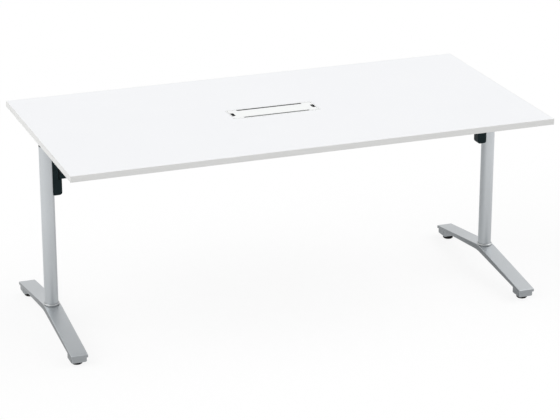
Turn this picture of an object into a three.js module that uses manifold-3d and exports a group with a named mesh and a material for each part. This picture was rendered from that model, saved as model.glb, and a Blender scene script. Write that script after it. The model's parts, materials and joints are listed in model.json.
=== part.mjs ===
// Flip top training table: two T legs joined by a beam, and a top that tips up on hinges at the leg heads.
// Millimetres. X runs along the table, -Y is the user's side, Z is up from the floor.
import * as THREE from 'three';
import { mergeVertices } from 'three/addons/utils/BufferGeometryUtils.js';
import Module from 'manifold-3d';

const wasm = await Module();
wasm.setup();

// Clearances
const seat = 0.05;            // between pieces that rest on each other or are glued
const fit = 0.3;              // around pieces that slide, turn or plug in
const swing = 3;              // between what tips with the top and what stays
const lidGap = 0.5;           // around the cable lid

// Facets
const cornerSteps = 2;        // half the steps of a rounded corner
const rimSteps = 7;           // half the steps of a wide arc
const roundSteps = 2;         // steps across a rounded edge
const wideTurn = 32;          // sides of the large round pieces
const smallTurn = 16;         // sides of pins and bolts

// Worktop
const topLength = 1800;
const topWidth = 900;
const tableHeight = 740;
const topThickness = 22;
const laminate = 0.8;
const band = 2;
const bandRound = 1;

// Cable box let into the worktop
const boxLength = 334;
const boxWidth = 104;
const boxOffset = -14;        // of its middle along X
const boxCorner = 6;
const rimWidth = 5;
const rimDepth = 3;
const skirtWall = 2;
const lidThickness = 4;
const lidCorner = 3;
const ledgeWidth = 3;
const ledgeThickness = 3;
const slitLength = 253;
const slitWidth = 10;
const slitCorner = 2;
const fingerLength = 32;
const fingerDepth = 13;
const fingerCorner = 4;
const trayDepth = 48;
const traySheet = 1.5;
const trayLip = 18;
const exitWidth = 46;
const exitHeight = 22;
const exitCorner = 5;
const exitSill = 10;          // sheet left under an exit

// Stiffening rails under the worktop
const railSpacing = 460;
const railWidth = 40;
const railHeight = 20;
const railSheet = 2;
const railLip = 12;
const railBend = 3;
const railGap = 25;           // from a hinge plate to the end of a rail

// Legs
const legInset = 34.5;        // from the end of the worktop to the column's axis
const legOffset = 13.5;       // of the columns behind the middle of the worktop
const columnDiameter = 50;
const columnWall = 2;
const footLength = 744;
const footWidth = 63;
const footCrest = 95;
const crestRadius = 150;
const archRadius = 230;       // of the underside below the crest
const crestDepth = 23;
const footEnd = 42.5;
const endDepth = 12;
const footRound = 3;
const endRound = 4;
const footRoof = 6;           // metal left over the hollows under an arm
const footWall = 5;
const footRib = 4;
const hollowsPerArm = 3;
const bossRise = 1;
const bossMargin = 1;
const spigotLength = 45;
const hubRadius = 24;         // solid metal round the draw bolt
const blockLength = 62;
const blockInset = 3;
const blockBottom = 15;
const blockCorner = 8;
const blockTaper = 2.5;
const blockCover = 1;         // metal over the top of a block
const collarHeight = 5;
const collarWidth = 4;
const collarRound = 1.5;
const plugLength = 12;
const drawBoltDiameter = 10;
const drawHeadDiameter = 17;
const drawHeadHeight = 9;
const drawSeat = 16;          // metal between the bolt head and the column
const capCrown = 1.5;
const capPlug = 14;

// Levelling feet
const padDiameter = 40;
const padHeight = 12;
const padToe = 3;             // the pad's floor edge slopes in by this much
const padNeck = 13;
const stemDiameter = 10;
const stemSocket = 6;         // how deep the stem sits in its pad
const stemLength = 28;
const stemSpare = 2;
const padSetback = 39;        // from the end of the foot to the stem

// Hinge and beam bracket
const axisDrop = 40;          // of the hinge axis under the worktop
const bracketWidth = 38;
const bracketWall = 14;
const bracketWrap = 11;       // how far the bracket reaches round the column
const bracketRound = 2.5;
const shelfReach = 12;
const shelfDepth = 59;
const shelfCorner = 10;
const beamDrop = 65;          // of the beam's top under the hinge axis
const beamHeight = 40;
const beamDepth = 35;
const beamSheet = 2;
const beamCorner = 4;
const beamGap = 3;            // from the bracket to the end of the beam
const beamPlug = 12;
const pinDiameter = 14;
const pinBlind = 11;          // depth of the pin in the bracket
const pinHead = 3;
const pinHeadDiameter = 22;
const clampBoltDiameter = 8;
const clampHeadDiameter = 13;
const clampHeadHeight = 7;
const clampBoltLength = 22;
const clampSocket = 6;        // across the corners
const clampRise = [16, 40];   // of the bolts over the beam

// Hinge arm on the worktop
const armThickness = 6;
const armTop = 90;
const lugRadius = 17;
const flangeLength = 150;
const flangeWidth = 50;
const flangeThickness = 3.5;
const flangeCorner = 8;
const bushWall = 3;
const bushFlange = 1.7;
const bushFlangeWidth = 3;

// Latch quadrant that stands on the beam
const quadrantThickness = 5;
const quadrantRadius = 33;
const quadrantHub = 18;
const quadrantLeg = 24;
const quadrantFoot = 4;
const quadrantFootWidth = 34;
const quadrantFootLength = 31;
const frontHorn = THREE.MathUtils.degToRad(205);
const stopPinDiameter = 8;
const stopPinRadius = 27;     // of the stop pin from the hinge axis
const flipAngle = Math.PI / 2;

// Latch bolts and release bar
const boltWidth = 9;
const boltHeight = 8;
const boltRise = 10;          // of the bolts over the hinge axis
const noseLength = 5;
const noseDrop = 2.5;
const notchPlay = 1;          // between a bolt and each flank of its notch
const latchTravel = 12;
const latchClear = 2;
const releaseReach = 343;     // of the release bar in front of the hinge axis
const releaseDiameter = 16;
const releaseWall = 1.5;
const releaseEnd = 12;
const eyeWall = 5;
const guideWall = 5;
const guideLength = 14;
const lugReach = 11;          // of a guide's two ears beside it
const lugThickness = 3;
const lugCorner = 3;
const guideGap = 13;          // from a hinge plate to the rear guide
const guideSetback = 73;      // from the release bar to the front guide
const gripLength = 180;
const gripWall = 3;
const gripRound = 2;

// Places worked out from the sizes
const underside = tableHeight - topThickness;
const legX = topLength / 2 - legInset;
const columnRadius = columnDiameter / 2;
const columnBore = columnRadius - columnWall;
const columnFoot = footCrest + bossRise;
const axisHeight = underside - axisDrop;
const flangeBottom = axisDrop - flangeThickness;
const capReach = flangeBottom - swing;
const columnTop = axisHeight + Math.sqrt(capReach ** 2 - columnRadius ** 2) - capCrown;
const beamTop = axisHeight - beamDrop;
const beamBottom = beamTop - beamHeight;
const shelfBottom = beamBottom - shelfDepth;
// Distances from the column's axis towards the middle of the table
const wrapStart = columnRadius - bracketWrap;
const wallFace = columnRadius + bracketWall;
const beamStart = wallFace + beamGap;
const shelfEnd = wallFace + shelfReach;
const armStart = wallFace + bushFlange + 2 * fit;
const armEnd = armStart + armThickness;
const latchLine = armEnd + 2 * fit + Math.max(boltWidth, quadrantThickness) / 2;
const quadrantStart = latchLine - quadrantThickness / 2;
const quadrantEnd = latchLine + quadrantThickness / 2;
const armLine = (armStart + armEnd) / 2;
const flangeEnd = armLine + flangeWidth / 2;
const guideReach = [flangeLength / 2 + guideGap + guideLength / 2, releaseReach - guideSetback];

const sides = { left: -1, right: 1 };
const finishes = {
  white: { color: 0xf4f5f7, roughness: 0.45, metalness: 0 },
  edge: { color: 0xe4e4e2, roughness: 0.5, metalness: 0 },
  board: { color: 0xc7b08a, roughness: 0.9, metalness: 0 },
  silver: { color: 0xb9bec1, roughness: 0.42, metalness: 0.35 },
  black: { color: 0x20282a, roughness: 0.55, metalness: 0 },
  steel: { color: 0x9a9da0, roughness: 0.35, metalness: 0.9 },
  rubber: { color: 0x141414, roughness: 0.8, metalness: 0 },
  bush: { color: 0xd9d4c4, roughness: 0.5, metalness: 0 },
};

// Solids

// A closed mesh as a solid, with its faces turned outwards
function toSolid(geometry) {
  const bare = geometry.clone();
  bare.deleteAttribute('normal');
  bare.deleteAttribute('uv');
  const { index, attributes } = mergeVertices(bare);
  const points = attributes.position.array;
  const corner = (i) => new THREE.Vector3().fromArray(points, 3 * i);
  const triangles = [];
  let volume = 0;
  for (let i = 0; i < index.count; i += 3) {
    const [a, b, c] = index.array.slice(i, i + 3);
    if (a === b || b === c || c === a) continue;
    triangles.push([a, b, c]);
    volume += corner(a).dot(corner(b).cross(corner(c)));
  }
  const facing = volume > 0 ? triangles : triangles.map(([a, b, c]) => [a, c, b]);
  return new wasm.Manifold(new wasm.Mesh({
    numProp: 3,
    vertProperties: new Float32Array(points),
    triVerts: new Uint32Array(facing.flat()),
  }));
}

function toGeometry(solid) {
  const { vertProperties, triVerts } = solid.getMesh();
  const geometry = new THREE.BufferGeometry();
  geometry.setAttribute('position', new THREE.BufferAttribute(vertProperties, 3));
  geometry.setIndex(new THREE.BufferAttribute(triVerts, 1));
  geometry.computeVertexNormals();
  return geometry;
}

// An outline whose corners are [x, y, radius]
function outline(corners) {
  const shape = new THREE.Shape();
  corners.forEach(([x, y, radius = 0], i) => {
    const corner = new THREE.Vector2(x, y);
    const towards = (j) => new THREE.Vector2(...corners.at(j % corners.length)).sub(corner).normalize();
    const back = towards(i - 1);
    const ahead = towards(i + 1);
    const half = Math.acos(back.dot(ahead)) / 2;
    const start = back.clone().multiplyScalar(radius / Math.tan(half)).add(corner);
    const end = ahead.clone().multiplyScalar(radius / Math.tan(half)).add(corner);
    const centre = back.clone().add(ahead).setLength(radius / Math.sin(half)).add(corner);
    if (i === 0) shape.moveTo(start.x, start.y);
    else shape.lineTo(start.x, start.y);
    if (radius === 0) return;
    const from = start.sub(centre).angle();
    const to = end.sub(centre).angle();
    shape.absarc(centre.x, centre.y, radius, from, to, back.cross(ahead) > 0);
  });
  return shape;
}

function rectangle(width, height, radius = 0) {
  const x = width / 2;
  const y = height / 2;
  return outline([[-x, -y, radius], [x, -y, radius], [x, y, radius], [-x, y, radius]]);
}

// A prism of an outline from 0 to its length along Z, with rounded end edges
function prism(shape, length, round = 0, steps = cornerSteps) {
  return new THREE.ExtrudeGeometry(shape, {
    depth: length - 2 * round,
    curveSegments: steps,
    bevelEnabled: round > 0,
    bevelThickness: round,
    bevelSize: round,
    bevelOffset: -round,
    bevelSegments: roundSteps,
  }).translate(0, 0, round);
}

// Prisms of a YZ outline along X, an XZ outline along Y and an XY outline along Z
const turnToX = new THREE.Matrix4().makeBasis(
  new THREE.Vector3(0, 1, 0), new THREE.Vector3(0, 0, 1), new THREE.Vector3(1, 0, 0));
function alongX(shape, from, to, ...edges) {
  return toSolid(prism(shape, to - from, ...edges).applyMatrix4(turnToX).translate(from, 0, 0));
}
function alongY(shape, from, to, ...edges) {
  return toSolid(prism(shape, to - from, ...edges).rotateX(Math.PI / 2).translate(0, to, 0));
}
function alongZ(shape, from, to, ...edges) {
  return toSolid(prism(shape, to - from, ...edges).translate(0, 0, from));
}

// A turned piece about Z from a profile of [radius, height]
function turned(profile, sidesRound = wideTurn) {
  const points = profile.map(([radius, height]) => new THREE.Vector2(radius, height));
  return toSolid(new THREE.LatheGeometry(points, sidesRound).rotateX(Math.PI / 2));
}
function rod(radius, from, to, sidesRound = smallTurn) {
  return turned([[0, from], [radius, from], [radius, to], [0, to]], sidesRound);
}
function tube(inner, outer, from, to, sidesRound = wideTurn) {
  return turned([[inner, from], [outer, from], [outer, to], [inner, to], [inner, from]], sidesRound);
}
// Lays a piece turned about Z along X
const layAlongX = (solid) => solid.rotate([0, 90, 0]);

// Scene graph
const table = new THREE.Group();
function add(name, solid, finish, [x, y, z] = [0, 0, 0], parent = table) {
  const mesh = new THREE.Mesh(toGeometry(solid), new THREE.MeshStandardMaterial(finishes[finish]));
  mesh.name = name;
  mesh.position.set(x, y, z);
  parent.add(mesh);
}

// Worktop: a board between two laminates, edged on four sides, cut out for the cable box
const boardLength = topLength - 2 * (band + seat);
const boardWidth = topWidth - 2 * (band + seat);
const boardBottom = underside + laminate + seat;
const boardTop = tableHeight - laminate - seat;
const skirtLength = boxLength - 2 * (rimWidth - skirtWall);
const skirtWidth = boxWidth - 2 * (rimWidth - skirtWall);
const atBox = (solid) => solid.translate([boxOffset, 0, 0]);
const rebate = atBox(alongZ(rectangle(boxLength + 2 * fit, boxWidth + 2 * fit, boxCorner + fit),
  tableHeight - rimDepth - seat, tableHeight + swing));
const cutOut = atBox(alongZ(rectangle(skirtLength + 2 * fit, skirtWidth + 2 * fit),
  underside - swing, tableHeight + swing));
const board = (from, to) => alongZ(rectangle(boardLength, boardWidth), from, to);

add('tabletop_core', board(boardBottom, boardTop).subtract(rebate).subtract(cutOut), 'board');
add('worktop_laminate', board(boardTop + seat, tableHeight).subtract(rebate), 'white');
add('backing_laminate', board(underside, underside + laminate).subtract(cutOut), 'white');

const bandSection = (outward) => outline([
  [0, underside], [outward * band, underside, bandRound], [outward * band, tableHeight, bandRound],
  [0, tableHeight],
]);
for (const [name, way] of [['front', -1], ['back', 1]]) {
  const strip = alongX(bandSection(way), -topLength / 2, topLength / 2);
  add(`${name}_edge_band`, strip, 'edge', [0, way * (topWidth / 2 - band), 0]);
}
for (const [name, way] of Object.entries(sides)) {
  const strip = alongY(bandSection(way), -boardWidth / 2, boardWidth / 2);
  add(`${name}_edge_band`, strip, 'edge', [way * (topLength / 2 - band), 0, 0]);
}

// Cable box: a flush frame with a skirt and a ledge for the lid, the lid, and a tray under the worktop
const mouthLength = boxLength - 2 * rimWidth;
const mouthWidth = boxWidth - 2 * rimWidth;
const lidBottom = tableHeight - lidThickness;
const mouth = alongZ(rectangle(mouthLength, mouthWidth, lidCorner), underside - swing, tableHeight + swing);
const ledgeTop = lidBottom - seat;
const ledgeBottom = ledgeTop - ledgeThickness;
const throughLedge = (shape) => alongZ(shape, ledgeBottom - swing, ledgeTop + swing);
const ledgeRing = rectangle(mouthLength + skirtWall, mouthWidth + skirtWall, lidCorner);
const ledge = alongZ(ledgeRing, ledgeBottom, ledgeTop)
  .subtract(throughLedge(rectangle(mouthLength - 2 * ledgeWidth, mouthWidth - 2 * ledgeWidth, lidCorner)))
  .subtract(throughLedge(rectangle(slitLength, mouthWidth)))
  .subtract(throughLedge(rectangle(mouthLength, fingerLength)));
const frame = alongZ(rectangle(boxLength, boxWidth, boxCorner), tableHeight - rimDepth, tableHeight)
  .add(alongZ(rectangle(skirtLength, skirtWidth), underside, tableHeight - rimDepth / 2))
  .subtract(mouth)
  .add(ledge);
add('cable_frame', frame, 'white', [boxOffset, 0, 0]);

const lidX = mouthLength / 2 - lidGap;
const lidY = mouthWidth / 2 - lidGap;
const slitX = slitLength / 2;
const slitY = mouthWidth / 2 - slitWidth;
const fingerX = mouthLength / 2 - fingerDepth;
const fingerY = fingerLength / 2;
const halfLid = (turn) => [
  [-lidX, -lidY, lidCorner], [-slitX, -lidY], [-slitX, -slitY, slitCorner],
  [slitX, -slitY, slitCorner], [slitX, -lidY], [lidX, -lidY, lidCorner],
  [lidX, -fingerY], [fingerX, -fingerY, fingerCorner], [fingerX, fingerY, fingerCorner], [lidX, fingerY],
].map(([x, y, radius]) => [turn * x, turn * y, radius]);
add('cable_lid', alongZ(outline([...halfLid(1), ...halfLid(-1)]), lidBottom, tableHeight), 'white',
  [boxOffset, 0, 0]);

const trayInnerLength = skirtLength + 2 * fit;
const trayInnerWidth = skirtWidth + 2 * fit;
const trayTop = underside - seat;
const trayBottom = trayTop - trayDepth;
const trayWidth = trayInnerWidth + 2 * traySheet;
const trayShell = alongZ(rectangle(trayInnerLength + 2 * traySheet, trayWidth, boxCorner),
  trayBottom, trayTop);
const trayLips = alongZ(rectangle(trayInnerLength + 2 * trayLip, trayWidth, boxCorner),
  trayTop - traySheet, trayTop);
const trayHollow = alongZ(rectangle(trayInnerLength, trayInnerWidth, boxCorner - traySheet),
  trayBottom + traySheet, trayTop + swing);
const exitLow = trayBottom + exitSill;
const trayExits = alongX(outline([
  [-exitWidth / 2, exitLow, exitCorner], [exitWidth / 2, exitLow, exitCorner],
  [exitWidth / 2, exitLow + exitHeight, exitCorner], [-exitWidth / 2, exitLow + exitHeight, exitCorner],
]), -boxLength, boxLength);
add('cable_tray', trayShell.add(trayLips).subtract(trayHollow).subtract(trayExits), 'black',
  [boxOffset, 0, 0]);

// Two pressed rails that stiffen the worktop between the hinges
const railTop = underside - seat;
const railBottom = railTop - railHeight;
const railHalf = railWidth / 2;
const railInner = railHalf - railSheet;
const lipEnd = railHalf + railLip;
const lipBottom = railTop - railSheet;
const railSection = outline([
  [-lipEnd, lipBottom], [-railHalf, lipBottom],
  [-railHalf, railBottom, railBend], [railHalf, railBottom, railBend],
  [railHalf, lipBottom], [lipEnd, lipBottom], [lipEnd, railTop],
  [railInner, railTop], [railInner, railBottom + railSheet], [-railInner, railBottom + railSheet],
  [-railInner, railTop], [-lipEnd, railTop],
]);
const railEnd = legX - flangeEnd - railGap;
for (const [name, way] of [['front', -1], ['back', 1]]) {
  add(`${name}_rail`, alongX(railSection, -railEnd, railEnd), 'silver', [0, way * railSpacing / 2, 0]);
}

// Foot: an arched casting with hollow arms, a block under each end and a spigot for the column
const footHalf = footLength / 2;
const crestLift = (drop, radius) => radius * (1 / Math.cos(Math.atan(drop / footHalf)) - 1);
const armSlope = (footCrest - footEnd) / footHalf;
const roofAt = (y) => footCrest - armSlope * y - footRoof;
function makeFoot() {
  const crestUnder = footCrest - crestDepth;
  const endUnder = footEnd - endDepth;
  const bar = alongX(outline([
    [-footHalf, endUnder, endRound],
    [0, crestUnder + crestLift(crestUnder - endUnder, archRadius), archRadius],
    [footHalf, endUnder, endRound],
    [footHalf, footEnd, endRound],
    [0, footCrest + crestLift(footCrest - footEnd, crestRadius), crestRadius],
    [-footHalf, footEnd, endRound],
  ]), -footWidth / 2, footWidth / 2, footRound);
  const hollowStart = hubRadius;
  const hollowEnd = footHalf - blockLength;
  const pitch = (hollowEnd - hollowStart) / hollowsPerArm;
  let foot = bar;
  for (let i = 0; i < hollowsPerArm; i += 1) {
    const near = hollowStart + pitch * i;
    const far = near + pitch - footRib;
    for (const way of [-1, 1]) {
      const hollow = outline([
        [way * near, 0], [way * far, 0], [way * far, roofAt(far)], [way * near, roofAt(near)],
      ]);
      foot = foot.subtract(alongX(hollow, footWall - footWidth / 2, footWidth / 2 - footWall));
    }
  }
  const blockWidth = footWidth - 2 * blockInset;
  const blockShape = rectangle(blockWidth, blockLength, blockCorner);
  const blockTop = footEnd - blockCover;
  for (const way of [-1, 1]) {
    const block = alongZ(blockShape, blockBottom, blockTop, blockTaper)
      .translate([0, way * (footHalf - blockInset - blockLength / 2), 0]);
    const socket = rod(stemDiameter / 2 + fit, 0, padHeight - stemSocket + stemLength + stemSpare)
      .translate([0, way * (footHalf - padSetback), 0]);
    foot = foot.add(block).subtract(socket);
  }
  const drawSeatHeight = columnFoot - drawSeat;
  const headRoom = rod(drawHeadDiameter / 2 + 2 * fit, 0, drawSeatHeight);
  return foot
    .add(rod(columnRadius + bossMargin, footCrest - crestDepth / 2, columnFoot, wideTurn))
    .add(rod(columnBore - fit, footCrest, columnFoot + spigotLength, wideTurn))
    .subtract(headRoom)
    .subtract(rod(drawBoltDiameter / 2 + fit, 0, columnFoot + spigotLength + swing));
}

// Levelling feet: a moulded pad on a threaded stem
const padRadius = padDiameter / 2;
const padProfile = [
  [0, 0], [padRadius - padToe, 0], [padRadius, padToe], [padRadius, padHeight - 2 * padToe],
  [padRadius - padToe / 2, padHeight - padToe], [padNeck, padHeight - padToe], [padNeck - padToe, padHeight],
  [stemDiameter / 2 + seat, padHeight], [stemDiameter / 2 + seat, padHeight - stemSocket],
  [0, padHeight - stemSocket],
];
const stemBottom = padHeight - stemSocket + seat;

// Columns, collars, caps and the bolt that draws each column down on its foot
const drawHeadTop = columnFoot - drawSeat - seat;
const drawBolt = rod(drawBoltDiameter / 2, drawHeadTop - drawHeadHeight / 2,
  columnFoot + spigotLength + plugLength)
  .add(rod(drawHeadDiameter / 2, drawHeadTop - drawHeadHeight, drawHeadTop, 6));
const collarOuter = columnRadius + collarWidth;
const collarProfile = [
  [columnRadius + seat, 0], [collarOuter, 0], [collarOuter, collarHeight - collarRound],
  [collarOuter - collarRound, collarHeight], [columnRadius + seat, collarHeight], [columnRadius + seat, 0],
];
const capProfile = [
  [0, seat - capPlug], [columnBore - fit, seat - capPlug], [columnBore - fit, seat], [columnRadius, seat],
  [columnRadius - capCrown / 2, capCrown / 2], [columnBore, capCrown], [0, capCrown],
];
const clampHeights = clampRise.map((rise) => beamTop + rise);
const clampSeat = wallFace - clampHeadHeight;
const clampHole = (radius, from, to) => layAlongX(rod(radius, from, to));

// Beam bracket: hugs the inner side of its column, carries the beam on a shelf and the hinge pin at its head
function makeBracket() {
  const halfWidth = bracketWidth / 2;
  const headTop = axisHeight + halfWidth;
  const side = outline([
    [wrapStart, shelfBottom, shelfCorner], [shelfEnd, shelfBottom, shelfCorner],
    [shelfEnd, beamBottom - seat], [wallFace, beamBottom - seat], [wallFace, headTop], [wrapStart, headTop],
  ]);
  const front = new THREE.Shape();
  front.moveTo(-bracketWidth, shelfBottom - swing);
  front.lineTo(bracketWidth, shelfBottom - swing);
  front.lineTo(bracketWidth, beamTop);
  front.lineTo(halfWidth, beamTop);
  front.absarc(0, axisHeight, halfWidth, 0, Math.PI, false);
  front.lineTo(-halfWidth, beamTop);
  front.lineTo(-bracketWidth, beamTop);
  let bracket = alongY(side, -halfWidth, halfWidth, bracketRound)
    .intersect(alongX(front, 0, shelfEnd + swing, 0, rimSteps))
    .subtract(rod(columnRadius + fit, 0, tableHeight, wideTurn))
    .subtract(layAlongX(rod(pinDiameter / 2 + fit, wallFace - pinBlind - fit, shelfEnd))
      .translate([0, 0, axisHeight]));
  for (const height of clampHeights) {
    const hole = clampHole(clampBoltDiameter / 2 + fit, 0, shelfEnd)
      .add(clampHole(clampHeadDiameter / 2 + fit, clampSeat - seat, shelfEnd));
    bracket = bracket.subtract(hole.translate([0, 0, height]));
  }
  return bracket;
}

function makeClampBolt() {
  const head = clampHole(clampHeadDiameter / 2, clampSeat, wallFace);
  const shank = clampHole(clampBoltDiameter / 2, clampSeat - clampBoltLength,
    clampSeat + clampHeadHeight / 2);
  const socket = layAlongX(rod(clampSocket / 2, wallFace - clampHeadHeight / 2, shelfEnd, 6));
  return head.add(shank).subtract(socket);
}

// Hinge pin, from its blind hole in the bracket through arm and quadrant
const pinEnd = quadrantEnd + fit;
const makePin = () => layAlongX(turned([
  [0, wallFace - pinBlind], [pinDiameter / 2, wallFace - pinBlind], [pinDiameter / 2, pinEnd],
  [pinHeadDiameter / 2, pinEnd], [pinHeadDiameter / 2, pinEnd + pinHead / 2],
  [pinDiameter / 2, pinEnd + pinHead], [0, pinEnd + pinHead],
], smallTurn));

// Angles about the hinge axis, seen from the right end: 0 points to the back, a quarter turn points up.
// The stop pin meets the quadrant's shoulder at rest and its leg when the top is tipped up.
const stopReach = stopPinDiameter / 2 + fit;
const stopLow = -Math.acos((quadrantLeg / 2 + stopReach) / stopPinRadius);
const stopAngle = stopLow + flipAngle;
const shoulderAngle = stopAngle + Math.asin(stopReach / stopPinRadius);
const polar = (radius, angle) => [radius * Math.cos(angle), radius * Math.sin(angle)];

// Hinge arm: a flange under the worktop and a web with the pivot lug and the stop pin
function makeArm() {
  const corner = Math.hypot(armTop / 2, flangeBottom);
  const tangent = Math.atan2(flangeBottom, armTop / 2) - Math.acos(lugRadius / corner);
  const web = new THREE.Shape();
  web.moveTo(armTop / 2, flangeBottom + flangeThickness / 2);
  web.lineTo(-armTop / 2, flangeBottom + flangeThickness / 2);
  web.lineTo(-armTop / 2, flangeBottom);
  web.absarc(0, 0, lugRadius, Math.PI - tangent, 2 * Math.PI + tangent, false);
  web.lineTo(armTop / 2, flangeBottom);
  const flange = alongZ(rectangle(flangeWidth, flangeLength, flangeCorner), flangeBottom, axisDrop - seat)
    .translate([armLine, 0, 0]);
  const [stopY, stopZ] = polar(stopPinRadius, stopAngle);
  const stop = layAlongX(rod(stopPinDiameter / 2, armLine, quadrantEnd)).translate([0, stopY, stopZ]);
  const bore = layAlongX(rod(pinDiameter / 2 + bushWall + 2 * fit, 0, legX));
  return alongX(web, armStart, armEnd, 0, rimSteps).add(flange).add(stop).subtract(bore);
}

const bushBore = pinDiameter / 2 + fit;
const bushOuter = bushBore + bushWall;
const makeBush = () => layAlongX(turned([
  [bushBore, armStart - bushFlange - seat], [bushOuter + bushFlangeWidth, armStart - bushFlange - seat],
  [bushOuter + bushFlangeWidth, armStart - seat], [bushOuter, armStart - seat], [bushOuter, armEnd],
  [bushBore, armEnd], [bushBore, armStart - bushFlange - seat],
], smallTurn));

// Latch quadrant: one notch takes the bolt with the top down, the other with the top tipped up
function makeQuadrant() {
  const lip = boltHeight / 2 + notchPlay;
  const low = boltRise - lip;
  const high = boltRise + lip;
  const floor = quadrantRadius + latchClear - latchTravel - fit;
  const legHalf = quadrantLeg / 2;
  const footTop = quadrantFoot - beamDrop;
  const rim = (from, to) => shape.absarc(0, 0, quadrantRadius, from, to, true);
  const shape = new THREE.Shape();
  shape.moveTo(-legHalf, footTop - quadrantFoot / 2);
  shape.lineTo(-legHalf, -quadrantRadius - legHalf / 2);
  rim(frontHorn, Math.PI - Math.asin(low / quadrantRadius));
  shape.lineTo(-floor, low);
  shape.lineTo(-floor, high);
  rim(Math.PI - Math.asin(high / quadrantRadius), Math.acos(low / quadrantRadius));
  shape.lineTo(low, floor);
  shape.lineTo(high, floor);
  rim(Math.acos(high / quadrantRadius), shoulderAngle);
  shape.absarc(0, 0, quadrantHub, shoulderAngle, -Math.acos(legHalf / quadrantHub), true);
  shape.lineTo(legHalf, footTop - quadrantFoot / 2);
  const foot = alongZ(rectangle(quadrantFootWidth, quadrantFootLength, quadrantFoot),
    seat - beamDrop, footTop).translate([beamStart + quadrantFootWidth / 2, 0, 0]);
  const bore = layAlongX(rod(pinDiameter / 2 + fit, 0, legX));
  return alongX(shape, quadrantStart, quadrantEnd, 0, rimSteps).add(foot).subtract(bore);
}

// Latch bolt: a flat bar with a tapered nose and an eye on the release bar, drawn back at rest
function makeLatchBolt() {
  const halfHeight = boltHeight / 2;
  const nose = -quadrantRadius - latchClear;
  const eyeRadius = releaseDiameter / 2 + eyeWall;
  const bar = outline([
    [-releaseReach, boltRise - halfHeight], [nose - noseLength, boltRise - halfHeight],
    [nose, boltRise - halfHeight + noseDrop], [nose, boltRise + halfHeight - noseDrop],
    [nose - noseLength, boltRise + halfHeight], [-releaseReach, boltRise + halfHeight],
  ]);
  const atBar = (solid) => layAlongX(solid).translate([0, -releaseReach, boltRise]);
  return alongX(bar, -boltWidth / 2, boltWidth / 2)
    .add(atBar(rod(eyeRadius, -boltWidth / 2, boltWidth / 2)))
    .subtract(atBar(rod(releaseDiameter / 2 + seat, -boltWidth, boltWidth)));
}

// Guide: a stirrup under the worktop that the bolt slides through
function makeGuide() {
  const holeWidth = boltWidth + 2 * fit;
  const holeHeight = boltHeight + 2 * fit;
  const half = holeWidth / 2 + guideWall;
  const bottom = boltRise - holeHeight / 2 - guideWall;
  const section = outline([
    [-half, bottom, guideWall], [half, bottom, guideWall], [half, axisDrop - seat], [-half, axisDrop - seat],
  ]);
  const hole = alongY(rectangle(holeWidth, holeHeight), -guideLength, guideLength)
    .translate([0, 0, boltRise]);
  const ears = alongZ(rectangle(2 * (half + lugReach), guideLength, lugCorner),
    axisDrop - seat - lugThickness, axisDrop - seat);
  return alongY(section, -guideLength / 2, guideLength / 2).add(ears).subtract(hole);
}

// Each end of the table, built as the left end; what isn't symmetric is mirrored for the right
for (const [name, way] of Object.entries(sides)) {
  const leg = new THREE.Group();
  leg.position.set(way * legX, legOffset, 0);
  table.add(leg);
  const inward = (solid) => (way > 0 ? solid.mirror([1, 0, 0]) : solid);

  add(`${name}_foot`, makeFoot(), 'silver', [0, 0, 0], leg);
  for (const [end, y] of [['front', padSetback - footHalf], ['back', footHalf - padSetback]]) {
    add(`${name}_${end}_pad`, turned(padProfile), 'rubber', [0, y, 0], leg);
    add(`${name}_${end}_stem`, rod(stemDiameter / 2, stemBottom, stemBottom + stemLength), 'steel',
      [0, y, 0], leg);
  }
  let column = tube(columnBore, columnRadius, columnFoot + seat, columnTop);
  for (const height of clampHeights) {
    column = column.subtract(clampHole(clampBoltDiameter / 2 + fit, 0, wallFace).translate([0, 0, height]));
  }
  add(`${name}_column`, inward(column), 'silver', [0, 0, 0], leg);
  add(`${name}_collar`, turned(collarProfile), 'steel', [0, 0, columnFoot + seat], leg);
  add(`${name}_column_cap`, turned(capProfile), 'black', [0, 0, columnTop], leg);
  add(`${name}_column_plug`, tube(drawBoltDiameter / 2 + seat, columnBore - seat, 0, plugLength), 'steel',
    [0, 0, columnFoot + spigotLength + seat], leg);
  add(`${name}_draw_bolt`, drawBolt, 'steel', [0, 0, 0], leg);

  add(`${name}_beam_bracket`, inward(makeBracket()), 'black', [0, 0, 0], leg);
  clampHeights.forEach((height, i) => {
    add(`${name}_${['lower', 'upper'][i]}_clamp_bolt`, inward(makeClampBolt()), 'steel', [0, 0, height], leg);
  });

  const hinge = new THREE.Group();
  hinge.position.z = axisHeight;
  leg.add(hinge);
  add(`${name}_hinge_pin`, inward(makePin()), 'steel', [0, 0, 0], hinge);
  add(`${name}_hinge_bush`, inward(makeBush()), 'bush', [0, 0, 0], hinge);
  add(`${name}_hinge_arm`, inward(makeArm()), 'black', [0, 0, 0], hinge);
  add(`${name}_latch_quadrant`, inward(makeQuadrant()), 'black', [0, 0, 0], hinge);
  add(`${name}_latch_bolt`, makeLatchBolt(), 'steel', [-way * latchLine, 0, 0], hinge);
  guideReach.forEach((reach, i) => {
    add(`${name}_${['rear', 'front'][i]}_latch_guide`, makeGuide(), 'black',
      [-way * latchLine, -reach, 0], hinge);
  });
}

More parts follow.
